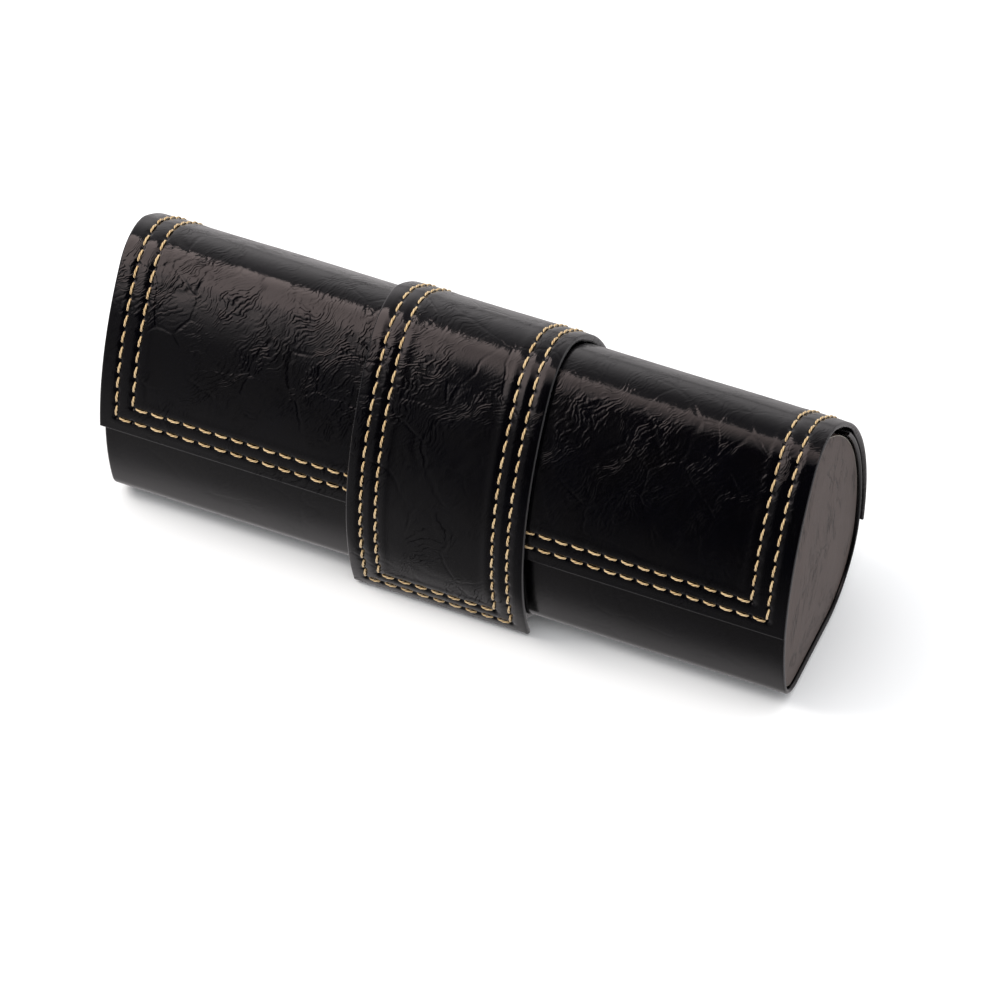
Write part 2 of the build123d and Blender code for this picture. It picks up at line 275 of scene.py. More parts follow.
def hide_relief(u, v, seed, crease=1.0):
    """Height of the hide above its flat, in millimetres: slow waves, and patches of fine creases."""
    waves = 0.16 * lattice_noise(u / 34, v / 26, seed) + 0.07 * lattice_noise(u / 13, v / 10, seed + 1)
    patch = smoothstep(-0.12, 0.22, lattice_noise(u / 19, v / 15, seed + 2))
    bent = u + 2.2 * lattice_noise(u / 6, v / 6, seed + 3)
    along = v + 2.2 * lattice_noise(u / 6 + 9, v / 6 + 9, seed + 4)
    ridges = 1 - 2.4 * np.abs(lattice_noise((bent * 0.8 + along * 0.6) / 1.9,
                                            (along * 0.8 - bent * 0.6) / 4.4, seed + 5))
    return waves + crease * 0.045 * patch * ridges


# %% [markdown]
# ## One function for every leather sheet
# The trough's shell, the flap and the strap are all the same thing to a leather worker: a flat sheet,
# turned in at its edges, sewn near them and bent round a former. A subdivision surface or a cloth
# simulation would round the edges too, but stitch holes and seam grooves need vertices exactly where
# the thread runs. So the sheet is a dense grid, finer near edges and seams, and each vertex is lifted
# or lowered by what happens there.

# %% Grid lines that crowd where detail is
def grid_lines(length, fine_at, coarse=0.62, fine=0.27, reach=1.0):
    """Positions from 0 to length: steps are small near each place in fine_at, coarse elsewhere."""
    lines = [0.0]
    fine_at = np.array(sorted(fine_at))
    while lines[-1] < length:
        nearest = np.abs(fine_at - lines[-1]).min() if len(fine_at) else 99.0
        lines.append(lines[-1] + (fine if nearest < reach else coarse))
    return np.array(lines) * length / lines[-1]


def edge_lines(lines, length, free_start, free_end, bevel):
    """Adds the tight lines that round off a free edge."""
    extra = np.array([0.02, 0.07, 0.15, 0.26, 0.42, 0.62, 0.85]) * bevel
    first = 1.1 * bevel if free_start else -bevel
    last = length - 1.1 * bevel if free_end else length + bevel
    keep = lines[(lines > first) & (lines < last)]
    parts = [keep, [0.0, length]]
    if free_start:
        parts.append(extra)
    if free_end:
        parts.append(length - extra)
    return np.unique(np.concatenate(parts).round(5))


# %% [markdown]
# A seam is two parallel rows of thread. Each row follows the sheet's free edges at a fixed inset, with
# square corners, so the distance to a row is the distance to the nearest of a few straight runs. The
# needle pulls the leather down in a shallow groove, and makes a small pit at each hole.

# %% Seam layout shared by the leather and its thread
STITCH = 3.9               # from one needle hole to the next
HOLE_REACH = 0.4           # how far past a row's end its last hole still counts


class Seam:
    """One row of thread that runs up both sides of a sheet, and across the ends it is closed at."""

    def __init__(self, half, length, inset, closed_start, closed_end, first=0.0):
        self.side = half - inset
        self.low = inset if closed_start else first
        self.high = length - inset if closed_end else length
        self.closed_start, self.closed_end = closed_start, closed_end
        self.side_pitch = self.spacing(self.high - self.low)
        self.cross_pitch = self.spacing(2 * self.side)

    @staticmethod
    def spacing(run):
        return run / max(1, round(run / STITCH))

    def reach(self, u, v):
        """Distance from each place to the row, and to its nearest needle hole."""
        beyond = np.maximum(np.maximum(self.low - v, v - self.high), 0.0)
        off_side = np.hypot(np.abs(u) - self.side, beyond)
        along = np.abs((v - self.low + self.side_pitch / 2) % self.side_pitch - self.side_pitch / 2)
        hole = np.where(beyond > HOLE_REACH, 9.0, np.hypot(np.abs(u) - self.side, along))
        row = off_side
        for closed, at in ((self.closed_start, self.low), (self.closed_end, self.high)):
            if closed:
                aside = np.maximum(np.abs(u) - self.side, 0.0)
                row = np.minimum(row, np.hypot(v - at, aside))
                step = np.abs((u + self.side + self.cross_pitch / 2) % self.cross_pitch
                              - self.cross_pitch / 2)
                hole = np.minimum(hole, np.where(aside > HOLE_REACH, 9.0, np.hypot(v - at, step)))
        return row, hole

    def stitches(self):
        """Flat start and end places of every stitch."""
        runs = []
        count = round((self.high - self.low) / self.side_pitch)
        steps = self.low + self.side_pitch * np.arange(count + 1)
        for side in (-self.side, self.side):
            runs += [((side, a), (side, b)) for a, b in zip(steps[:-1], steps[1:])]
        count = round(2 * self.side / self.cross_pitch)
        steps = -self.side + self.cross_pitch * np.arange(count + 1)
        for closed, at in ((self.closed_start, self.low), (self.closed_end, self.high)):
            if closed:
                runs += [((a, at), (b, at)) for a, b in zip(steps[:-1], steps[1:])]
        return runs


GROOVE_DEPTH, GROOVE_WIDTH = 0.11, 0.5
HOLE_DEPTH, HOLE_WIDTH = 0.42, 0.42
PUFF_HEIGHT, PUFF_WIDTH, PUFF_DISTANCE = 0.07, 0.8, 1.6


def seam_relief(u, v, seams):
    """How far the seams pull the leather down or let it puff up, in millimetres."""
    lift = np.zeros(np.broadcast(u, v).shape)
    for seam in seams:
        row, hole = seam.reach(u, v)
        lift -= GROOVE_DEPTH * np.exp(-(row / GROOVE_WIDTH) ** 2)
        lift -= HOLE_DEPTH * np.exp(-(hole / HOLE_WIDTH) ** 2)
        lift += PUFF_HEIGHT * np.exp(-((row - PUFF_DISTANCE) / PUFF_WIDTH) ** 2)
    return lift


# %% The sheet itself
def new_object(name, vertices, faces, material):
    """A smooth-shaded mesh object from points in millimetres."""
    mesh = bpy.data.meshes.new(name)
    mesh.vertices.add(len(vertices))
    mesh.vertices.foreach_set("co", (np.asarray(vertices, float) * MM).ravel())
    faces = np.asarray(faces, np.int32)
    mesh.loops.add(faces.size)
    mesh.loops.foreach_set("vertex_index", faces.ravel())
    mesh.polygons.add(len(faces))
    mesh.polygons.foreach_set("loop_start", np.arange(0, faces.size, faces.shape[1], dtype=np.int32))
    mesh.update(calc_edges=True)
    mesh.polygons.foreach_set("use_smooth", np.ones(len(faces), bool))
    mesh.materials.append(material)
    piece = bpy.data.objects.new(name, mesh)
    bpy.context.collection.objects.link(piece)
    return piece


def put_attribute(piece, name, values):
    """Stores a vector at each vertex, for the shader to read."""
    layer = piece.data.attributes.new(name, "FLOAT_VECTOR", "POINT")
    layer.data.foreach_set("vector", np.asarray(values, np.float32).ravel())


def grid_faces(rows, columns, first=0, flip=False):
    """Quads of a rows by columns grid of vertices."""
    r, c = np.meshgrid(np.arange(rows - 1), np.arange(columns - 1), indexing="ij")
    a = (first + r * columns + c).ravel()
    quads = np.stack([a, a + 1, a + columns + 1, a + columns], -1)
    return quads[:, ::-1] if flip else quads


def border(rows, columns):
    """Vertex indices round the edge of a grid, in order."""
    grid = np.arange(rows * columns).reshape(rows, columns)
    return np.concatenate([grid[0, :-1], grid[:-1, -1], grid[-1, :0:-1], grid[:0:-1, 0]])


SUNK, HIGHEST = 0.06, 0.09     # the hide lies a little below its layer and rises little above it
INNER_LAY = [300, 0, 9]        # keeps the inner face's patterns apart from the outer face's


def leather_sheet(name, path, half, inner, outer, material, free=(True, True), seams=(), bevel=0.75,
                  seed=1, crease=1.0, wave=1.0, soften=None, hide_start=0.0, narrow=None):
    """A closed leather sheet round a path. inner and outer are offsets, numbers or functions of v."""
    fine_u = [s.side for s in seams] + [-s.side for s in seams]
    fine_v = [s.low for s in seams if s.closed_start] + [s.high for s in seams if s.closed_end]
    us = grid_lines(2 * half, [half + at for at in fine_u])
    us = edge_lines(us, 2 * half, True, True, bevel) - half
    vs = edge_lines(grid_lines(path.length, fine_v, coarse=0.45), path.length, *free, bevel)
    v, u = np.meshgrid(vs, us, indexing="ij")
    to_end = np.full(u.shape, 99.0)
    if free[0]:
        to_end = np.minimum(to_end, v)
    if free[1]:
        to_end = np.minimum(to_end, path.length - v)
    edge = np.minimum(half - np.abs(u), to_end)
    low = inner(v) if callable(inner) else np.full(u.shape, float(inner))
    high = outer(v) if callable(outer) else np.full(u.shape, float(outer))
    middle = (low + high) / 2
    round_off = np.sqrt(1 - (1 - np.clip(edge / bevel, 0, 1)) ** 2)
    calm = smoothstep(0.0, 4.0, edge) if soften is None else smoothstep(0.0, 4.0, edge) * soften(v)
    relief = wave * hide_relief(u, v + hide_start, seed, crease) * calm
    relief = relief + seam_relief(u, v, seams) * smoothstep(0.2, 1.2, edge)
    top = middle + (high - middle + np.minimum(relief - SUNK, HIGHEST)) * round_off
    bottom = middle - (middle - low) * round_off
    rows, columns = u.shape
    across = u if narrow is None else u * narrow(v)
    points = np.concatenate([path.place(across, v, layer).reshape(-1, 3) for layer in (top, bottom)])
    count = rows * columns
    rim = border(rows, columns)
    nxt = np.roll(rim, -1)
    wall = np.stack([rim, rim + count, nxt + count, nxt], -1)
    faces = np.concatenate([grid_faces(rows, columns), grid_faces(rows, columns, count, True), wall])
    piece = new_object(name, points, faces, material)
    lay = np.stack([u, v + hide_start, edge], -1).reshape(-1, 3)
    put_attribute(piece, "lay", np.concatenate([lay, lay * [1, 1, 0] + INNER_LAY]))
    rework(piece, weld)
    print(name, "vertices:", len(piece.data.vertices),
          "flat mm:", round(2 * half, 1), "x", round(path.length, 1))
    return piece


def rework(piece, edit):
    """Changes a mesh through bmesh with one function, then makes its faces look outwards."""
    work = bmesh.new()
    work.from_mesh(piece.data)
    edit(work)
    bmesh.ops.recalc_face_normals(work, faces=work.faces)
    work.to_mesh(piece.data)
    work.free()


def weld(work):
    """Joins the vertices that meet along rounded edges, and drops the faces this flattens."""
    bmesh.ops.remove_doubles(work, verts=work.verts, dist=1e-7)
    bmesh.ops.dissolve_degenerate(work, edges=work.edges, dist=1e-8)


# %% [markdown]
# ## Thread
# Each visible stitch is a short length of twisted thread that comes up out of one hole, lies on the
# leather and dives into the next. A dashed texture would be cheap, but thread stands proud and throws
# a small shadow. So every stitch is a real tube with two plies twisted round each other. It is set at
# a slight slant, because a machine's lock stitch pulls each one a little askew.

# %% Twisted stitches along a seam
THREAD_RADIUS = 0.24
STITCH_GAP = 0.95          # leather left showing between two stitches
SLANT = 0.12
AROUND, ALONG = 12, 15
PLY_TWIST = 2.1            # radians of twist to a millimetre of thread


def stitch_mesh(name, path, seam, surface, material):
    """All the stitches of one seam, as one object."""
    share = np.linspace(0, 1, ALONG)
    turn = np.linspace(0, TURN, AROUND, endpoint=False)
    rng = np.random.default_rng(len(name))
    points, shades = [], []
    for start, end in seam.stitches():
        start, end = np.array(start), np.array(end)
        run = np.linalg.norm(end - start)
        ahead = (end - start) / run
        aside = np.array([-ahead[1], ahead[0]])
        trim = STITCH_GAP / 2 + rng.uniform(-0.05, 0.05)
        slant = SLANT * rng.uniform(0.6, 1.4)
        core = start + np.outer(trim + share * (run - 2 * trim), ahead) \
            + np.outer((share - 0.5) * 2 * slant + 0.04 * np.sin(share * pi), aside)
        rise = -0.42 + 0.56 * np.sin(pi * share) ** 0.42
        thick = THREAD_RADIUS * (0.72 + 0.34 * np.sin(pi * share) ** 0.6)
        ply = 1 + 0.15 * np.cos(2 * (turn[None, :] - share[:, None] * run * PLY_TWIST))
        radius = thick[:, None] * ply
        u = core[:, :1] + radius * np.cos(turn) * aside[0]
        v = core[:, 1:] + radius * np.cos(turn) * aside[1]
        height = surface + rise[:, None] + radius * 0.78 * np.sin(turn)
        points.append(path.place(u, v, height).reshape(-1, 3))
        shades.append(np.stack([np.broadcast_to(share[:, None] * run, u.shape),
                                np.broadcast_to(turn, u.shape),
                                np.full(u.shape, rng.uniform())], -1).reshape(-1, 3))
    ring = np.arange(AROUND)
    tube = []
    for k in range(ALONG - 1):
        a = k * AROUND + ring
        b = k * AROUND + np.roll(ring, -1)
        tube.append(np.stack([a, b, b + AROUND, a + AROUND], -1))
    tube = np.concatenate(tube)
    size = ALONG * AROUND
    faces = np.concatenate([tube + k * size for k in range(len(points))])
    piece = new_object(name, np.concatenate(points), faces, material)
    put_attribute(piece, "lay", np.concatenate(shades))
    rework(piece, close_ends)
    print(name, "stitches:", len(points))
    return piece


def close_ends(work):
    """Caps the open ends of every tube."""
    open_edges = [edge for edge in work.edges if edge.is_boundary]
    bmesh.ops.holes_fill(work, edges=open_edges, sides=AROUND)


# %% [markdown]
# ## Materials: a small node kit
# Every finish below is built from noise in the shader, so it has no image and no size limit. The
# patterns read the "lay" attribute, the flat place on the hide in millimetres, and not the position in
# space. That way the creases stay on the leather when the flap bends.

# %% Helpers that add and join nodes
def new_material(name):
    """A material with only its surface shader and output."""
    material = bpy.data.materials.new(name)
    material.use_nodes = True
    tree = material.node_tree
    return material, tree, tree.nodes["Principled BSDF"]


def fill(tree, node, **inputs):
    """Sets inputs by name, with _ for a space, or by place, as i0. A socket is linked, a number set."""
    for key, value in inputs.items():
        name = key.replace("_", " ")
        socket = node.inputs[int(key[1:]) if key[0] == "i" and key[1:].isdigit() else name]
        if isinstance(value, bpy.types.NodeSocket):
            tree.links.new(value, socket)
        else:
            socket.default_value = value


def add(tree, kind, settings=None, **inputs):
    """A node with its settings and its inputs."""
    node = tree.nodes.new(kind)
    for key, value in (settings or {}).items():
        setattr(node, key, value)
    fill(tree, node, **inputs)
    return node


def maths(tree, operation, a, b=0.0, c=0.0):
    """The result of one sum on up to three numbers or sockets."""
    return add(tree, "ShaderNodeMath", {"operation": operation}, i0=a, i1=b, i2=c).outputs[0]


def times(tree, a, b):
    return maths(tree, "MULTIPLY", a, b)


def plus(tree, a, b):
    return maths(tree, "ADD", a, b)


def minus(tree, a, b):
    return maths(tree, "SUBTRACT", a, b)


def times_plus(tree, a, b, c):
    return maths(tree, "MULTIPLY_ADD", a, b, c)


def remap(tree, value, low, high, to_low=0.0, to_high=1.0):
    """Carries low..high smoothly to to_low..to_high, and holds the ends."""
    return add(tree, "ShaderNodeMapRange", {"interpolation_type": "SMOOTHSTEP"},
               i0=value, i1=low, i2=high, i3=to_low, i4=to_high).outputs[0]


def mix_colour(tree, share, a, b):
    """Colour a at share 0, colour b at share 1."""
    return add(tree, "ShaderNodeMix", {"data_type": "RGBA"}, i0=share, i6=a, i7=b).outputs[2]


def noise(tree, vector, scale, detail=3.0, roughness=0.5, offset=0.0):
    return add(tree, "ShaderNodeTexNoise", {"noise_dimensions": "4D"}, Vector=vector, Scale=scale,
               Detail=detail, Roughness=roughness, W=offset).outputs["Fac"]


def lay_of(tree):
    return add(tree, "ShaderNodeAttribute", {"attribute_name": "lay", "attribute_type": "GEOMETRY"})


def place_of(tree):
    return add(tree, "ShaderNodeTexCoord").outputs["Object"]


def bumped(tree, height, distance, strength=1.0):
    """A normal tilted by a height. A height of 1 stands for the distance, in metres."""
    return add(tree, "ShaderNodeBump", Strength=strength, Distance=distance, Height=height).outputs[0]


# %% [markdown]
# ### Creased patent leatherette
# The cover is split hide with a hard glossy film, crushed so that the film wrinkles. Real wrinkles lie
# side by side in bundles that swing and fork like the lines of a contour map, so that is how they are
# made: a slow noise is a landscape, each step of its height is one wrinkle, and a noise of its own
# breaks every wrinkle into short lengths. A stretched noise would be simpler, but looks like fur. The
# clear coat is turned down in the valleys as painted shade, which keeps them dark where the surface
# mirrors a lamp.

# %% The leather
def wrinkles(tree, flat, seed, size, spacing):
    """Height and valleys, 0 to 1, of short wrinkles side by side like the lines of a contour map."""
    slope = add(tree, "ShaderNodeVectorMath", {"operation": "DOT_PRODUCT"}, i0=flat,
                i1=(0.79, 0.61, 0.0)).outputs["Value"]
    rise = times_plus(tree, noise(tree, flat, 1 / size, 1.0, 0.4, seed), size, times(tree, slope, 0.9))
    rise = times_plus(tree, noise(tree, flat, 0.40, 2.0, 0.5, seed + 0.5), 1.7, rise)
    count = times(tree, rise, 1 / spacing)
    ridge = maths(tree, "SINE", times(tree, maths(tree, "FRACT", count), pi))
    own_seed = times_plus(tree, maths(tree, "FLOOR", count), 7.3, seed)
    alive = remap(tree, noise(tree, flat, 0.24 / spacing, 1.0, 0.5, own_seed), 0.43, 0.56)
    bundle = remap(tree, maths(tree, "SINE", times(tree, rise, TURN / size)), -0.4, 0.8, 0.30, 1.0)
    strength = times(tree, alive, bundle)
    valley = maths(tree, "POWER", minus(tree, 1.0, ridge), 2.5)
    return times(tree, ridge, strength), times(tree, valley, strength)


def long_creases(tree, flat, seed, size, width):
    """Thin lines along the borders of large uneven cells, 0 to 1."""
    cells = {"voronoi_dimensions": "4D", "feature": "DISTANCE_TO_EDGE"}
    borders = add(tree, "ShaderNodeTexVoronoi", cells, Vector=flat, Scale=1 / size, W=seed)
    return remap(tree, borders.outputs["Distance"], 0.0, width / size, 1.0, 0.0)


# Painted highlight: the light grey that the rounded edges of every leather sheet are coloured with.
EDGE_HIGHLIGHT_GREY = (0.075, 0.073, 0.075, 1.0)


def leather(name, base, brown, crush, seed, coverage=0.5, rough=0.34, coat_rough=0.07, shade=0.8,
            right_end=0.55, calm=(500.0, 600.0)):
    """Glossy leatherette. crush is the height of its wrinkles in millimetres."""
    material, tree, shader = new_material(name)
    parts = add(tree, "ShaderNodeSeparateXYZ", Vector=lay_of(tree).outputs["Vector"])
    flat = add(tree, "ShaderNodeCombineXYZ", X=parts.outputs[0], Y=parts.outputs[1]).outputs[0]
    sway = add(tree, "ShaderNodeTexNoise", {"noise_dimensions": "4D"}, Vector=flat, Scale=0.15,
               Detail=2.5, W=seed).outputs["Color"]
    bent = add(tree, "ShaderNodeVectorMath", {"operation": "MULTIPLY_ADD"}, i0=sway, i1=(4.0, 4.0, 0.0),
               i2=flat).outputs[0]
    low = 0.62 - 0.26 * coverage
    worked = remap(tree, noise(tree, flat, 0.052, 3.5, 0.6, seed + 3), low, low + 0.12)
    touched = remap(tree, noise(tree, flat, 0.075, 2.0, 0.5, seed + 4), 0.40, 0.60)
    fine, fine_valley = wrinkles(tree, bent, seed + 1, 10.0, 0.62)
    fine, fine_valley = [times(tree, part, worked) for part in (fine, fine_valley)]
    wide, wide_valley = wrinkles(tree, bent, seed + 2, 17.0, 0.95)
    wide, wide_valley = [times(tree, part, touched) for part in (wide, wide_valley)]
    lines = times(tree, long_creases(tree, bent, seed + 5, 11.0, 0.55), touched)
    grain = noise(tree, flat, 2.2, 3.0, 0.6, seed + 6)
    height = times_plus(tree, wide, 0.6, fine)
    height = times_plus(tree, lines, -1.1, height)
    worn_in = times(tree, remap(tree, parts.outputs[0], -25.0, 45.0, 1.0, right_end),
                    remap(tree, parts.outputs[1], calm[0], calm[1], 1.0, 0.4))
    height = times(tree, height, times(tree, worn_in, crush))
    height = times_plus(tree, grain, 0.012, height)
    normal = bumped(tree, height, MM)
    tone = mix_colour(tree, noise(tree, flat, 0.09, 3.0, 0.6, seed + 8), base, brown)
    # Painted highlight: the colour turns light grey within a few tenths of a millimetre of each edge.
    painted_edge_highlight = remap(tree, parts.outputs[2], 0.05, 0.34, 0.5, 0.0)
    scatter = times_plus(tree, noise(tree, flat, 0.35, 3.0, 0.6, seed), 0.12, rough)
    smear = times_plus(tree, noise(tree, flat, 0.12, 3.0, 0.6, seed + 9), 0.10, coat_rough - 0.03)
    # Painted shade in the creases: the coat weight drops, by shade, in the wrinkle valleys.
    valleys = plus(tree, fine_valley, wide_valley)
    fill(tree, shader, Normal=normal, Coat_Normal=normal, Roughness=scatter,
         Base_Color=mix_colour(tree, painted_edge_highlight, tone, EDGE_HIGHLIGHT_GREY), Specular_IOR_Level=0.012, Coat_IOR=1.5,
         Coat_Roughness=times_plus(tree, fine, 0.05, smear),
         Coat_Weight=remap(tree, valleys, 0.0, 1.0, 1.0, 1.0 - shade))
    return material


NAVY_BLACK = (0.0004, 0.0005, 0.0018, 1.0)
BROWN_BLACK = (0.0012, 0.0009, 0.0009, 1.0)
flap_leather = leather("flap_leather", NAVY_BLACK, BROWN_BLACK, 0.055, 2.0, coverage=0.95,
                       calm=(88.0, 108.0))
strap_leather = leather("strap_leather", NAVY_BLACK, BROWN_BLACK, 0.050, 31.0, coverage=0.90,
                        calm=(172.0, 198.0))
body_leather = leather("body_leather", NAVY_BLACK, BROWN_BLACK, 0.014, 57.0, coverage=0.4,
                       coat_rough=0.15, shade=0.2)
print("leathers made")

# %% [markdown]
# ### The end walls' leather
# The end walls are covered in a plainer hide with a satin film. It shows a faint grain of long fine
# lines that runs up the wall, and a few soft scuffs. It has no clear coat, so it stays satin where the
# patent leather shines, and a single stretched noise gives the lines.

# %% Satin leather, thread, cloth, board and metal
def satin_leather(name):
    material, tree, shader = new_material(name)
    lay = lay_of(tree).outputs["Vector"]
    lines = add(tree, "ShaderNodeMapping", {"vector_type": "TEXTURE"}, Vector=lay,
                Rotation=(0.0, 0.0, radians(-12)), Scale=(0.55, 3.2, 1.0)).outputs[0]
    fine = noise(tree, lines, 1.0, 4.0, 0.65, 3.0)
    folds = minus(tree, noise(tree, lines, 0.22, 4.0, 0.6, 8.0), 0.5)
    folds = remap(tree, maths(tree, "ABSOLUTE", folds), 0.0, 0.035, 1.0, 0.0)
    folds = times(tree, folds, remap(tree, noise(tree, lay, 0.10, 2.0, 0.5, 6.0), 0.45, 0.60))
    speckle = noise(tree, lay, 3.2, 2.0, 0.6, 9.0)
    tone = mix_colour(tree, noise(tree, lay, 0.07, 3.0, 0.6, 5.0), (0.048, 0.029, 0.022, 1.0),
                      (0.073, 0.047, 0.039, 1.0))
    shine = times_plus(tree, minus(tree, fine, 0.5), 0.7, 0.56)
    shine = times_plus(tree, minus(tree, speckle, 0.5), 0.4, shine)
    fill(tree, shader, Normal=bumped(tree, times_plus(tree, folds, -0.9, fine), 0.09 * MM),
         Base_Color=mix_colour(tree, folds, tone, (0.020, 0.014, 0.011, 1.0)),
         Specular_IOR_Level=times_plus(tree, folds, -0.16, shine),
         Roughness=times_plus(tree, fine, 0.12, 0.32))
    return material


def thread_material(name):
    """Cream polyester in two twisted plies, with painted shade darkening the grooves between them."""
    material, tree, shader = new_material(name)
    parts = add(tree, "ShaderNodeSeparateXYZ", Vector=lay_of(tree).outputs["Vector"])
    phase = minus(tree, parts.outputs[1], times(tree, parts.outputs[0], PLY_TWIST))
    groove = times(tree, plus(tree, maths(tree, "COSINE", times(tree, phase, 2.0)), 1.0), 0.5)
    fibre = maths(tree, "SINE", times(tree, phase, 9.0))
    # Painted shade: the thread's colour darkens towards the grooves between its two plies.
    tone = mix_colour(tree, groove, (0.26, 0.145, 0.050, 1.0), (0.62, 0.44, 0.21, 1.0))
    pale = times(tree, parts.outputs[2], 0.35)
    fill(tree, shader, Base_Color=mix_colour(tree, pale, tone, (0.74, 0.57, 0.33, 1.0)),
         Normal=bumped(tree, plus(tree, groove, times(tree, fibre, 0.3)), 0.03 * MM, 0.5),
         Roughness=0.55, Sheen_Weight=0.3)
    return material


def cloth_material(name, dark, light, scale):
    """Short-napped microfibre: a tiny mottle and a soft sheen."""
    material, tree, shader = new_material(name)
    nap = noise(tree, place_of(tree), scale, 3.0, 0.7)
    fill(tree, shader, Base_Color=mix_colour(tree, nap, dark, light), Roughness=0.95,
         Normal=bumped(tree, nap, 0.08 * MM, 0.6), Sheen_Weight=0.5, Sheen_Roughness=0.4)
    return material


def board_material(name):
    """Grey board: pressed fibres, mottled."""
    material, tree, shader = new_material(name)
    where = place_of(tree)
    fibres = noise(tree, where, 900.0, 4.0, 0.7)
    flecks = remap(tree, noise(tree, where, 220.0, 2.0, 0.5, 4.0), 0.62, 0.70, 0.0, 0.6)
    tone = mix_colour(tree, fibres, (0.20, 0.185, 0.16, 1.0), (0.36, 0.335, 0.29, 1.0))
    fill(tree, shader, Base_Color=mix_colour(tree, flecks, tone, (0.12, 0.11, 0.10, 1.0)),
         Normal=bumped(tree, fibres, 0.05 * MM, 0.4), Roughness=0.9)
    return material


def metal_material(name, tint, rough):
    """Plated or bare steel with rolling marks."""
    material, tree, shader = new_material(name)
    drawn = add(tree, "ShaderNodeMapping", Vector=place_of(tree), Scale=(60.0, 1800.0, 1800.0))
    marks = noise(tree, drawn.outputs[0], 1.0, 3.0, 0.6)
    dull = tuple(0.8 * t for t in tint[:3]) + (1.0,)
    fill(tree, shader, Base_Color=mix_colour(tree, marks, tint, dull), Metallic=1.0,
         Roughness=remap(tree, marks, 0.2, 0.8, rough, rough + 0.15))
    return material


end_leather = satin_leather("end_leather")
thread = thread_material("cream_thread")
microfibre = cloth_material("microfibre", (0.016, 0.016, 0.018, 1.0), (0.040, 0.040, 0.046, 1.0),
                            2600.0)
greyboard = board_material("greyboard")
nickel = metal_material("nickel_plate", (0.62, 0.60, 0.56, 1.0), 0.22)
bare_steel = metal_material("bare_steel", (0.50, 0.50, 0.51, 1.0), 0.34)

# %% [markdown]
# ## The trough
# The body is one board bent into a trough, covered outside, with the leather turned in over the rims
# and lips. Its front shows below the flap. It was stretched smooth over the board, so it carries
# few creases. The sheet function gives the rounded lips and rims.

# %% Trough cover
lip, back_lip = front_angle(LIP_HEIGHT), back_angle(BACK_LIP_HEIGHT)
trough_path = Path(lip, back_lip, TROUGH_OUTER)
trough_shell = leather_sheet("trough_shell", trough_path, trough_half, 0.10, TROUGH_OUTER, body_leather,
                             bevel=0.5, seed=11, crease=0.2, wave=0.5)
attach(trough_shell, "case")
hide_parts("trough_cover")

# %% [markdown]
# ## The end walls
# Each end is a board cut to the outline, wrapped in the satin leather and set a little inside the rims.
# We could fill the outline with one flat face, but wrapped leather has a rounded rim and a slightly
# full middle. So the wall is built as rings that shrink towards its centre, and the outer rings roll
# over the edge.

# %% Covered end walls
WALL_GAP = 0.22
whole_turn = Path(FRONT_WALL[2], FRONT_WALL[2] + TURN, 0.0)


def end_wall(name, face_x, back_x):
    """A covered end wall: rings from the rolled rim to the middle, then its back edge."""
    toward = np.sign(face_x)
    v = np.linspace(0, whole_turn.length, 261)[:-1]
    centre, radius, normal = whole_turn.at(v)
    rim = centre + (radius - WALL_GAP)[:, None] * normal
    heart = rim.mean(0)
    roll = 0.75
    rings = [(rim - normal * 0.3, back_x)]
    for turn in np.linspace(0, pi / 2, 7):
        x = face_x - toward * roll * (1 - sin(turn))
        rings.append((rim - normal * roll * (1 - np.cos(turn)), x))
    inner_rim = rim - normal * roll
    for share in np.linspace(1, 0, 46)[1:-1]:
        rings.append((heart + (inner_rim - heart) * share, face_x))
    points, lay = [], []
    for section, x in rings:
        y, z = section[:, 0], section[:, 1]
        inside = np.linalg.norm(section - rim, axis=1)
        full = smoothstep(roll, 9.0, inside)
        broad, small = lattice_noise(y / 11 + face_x, z / 15, 40), lattice_noise(y / 4, z / 7, 41)
        unevenness = 0.10 * broad + 0.05 * small
        sunk = 0.28 * (1 - full) + (0.12 - unevenness) * full
        x_at = np.where(inside < roll * 1.01, x - toward * 0.25, face_x - toward * sunk)
        points.append(np.stack([x_at, y + SHIFT[0], z + SHIFT[1]], -1))
        lay.append(np.stack([y, z, inside], -1))
    count = len(v)
    k = np.arange(count)
    faces = []
    for ring in range(len(rings) - 1):
        a, b = ring * count + k, ring * count + np.roll(k, -1)
        faces.append(np.stack([a, b, b + count, a + count], -1))
    piece = new_object(name, np.concatenate(points), np.concatenate(faces), end_leather)
    put_attribute(piece, "lay", np.concatenate(lay))

    def cap_both_sides(work):
        work.verts.ensure_lookup_table()
        for start in (0, (len(rings) - 1) * count):
            work.faces.new([work.verts[start + i] for i in range(count)])

    rework(piece, cap_both_sides)
    piece.data.polygons.foreach_set("use_smooth", np.ones(len(piece.data.polygons), bool))
    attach(piece, "case")
    return piece


for side, sign in (("left", -1), ("right", 1)):
    face_x = sign * end_high[0]
    wall = end_wall(f"{side}_end_wall", face_x, sign * end_low[0])
    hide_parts(f"{side}_end_cover")
    print(wall.name, "face at x in mm:", round(face_x, 2))

# %% [markdown]
# ## The flap
# The flap is one long sheet. It is glued to the back of the trough, leaves it at the hinge line, goes
# over the crown and comes down the front. Modelling it as two plates would show a crack when it opens.
# Instead one mesh spans both, from the tail glued on the trough to the flap's front edge.

# %% Flap sheet and its two seams
flap_tail_end = back_angle(FLAP_TAIL_HEIGHT)
flap_edge = TURN + front_angle(FLAP_EDGE_HEIGHT, FLAP_OUTER)
flap_path = Path(flap_tail_end, flap_edge, FLAP_OUTER)
FLAP_INSETS = (4.3, 8.3)
GLUE = 0.02                # between two layers that are stuck together
flap_seams = [Seam(flap_half, flap_path.length, inset, True, True) for inset in FLAP_INSETS]


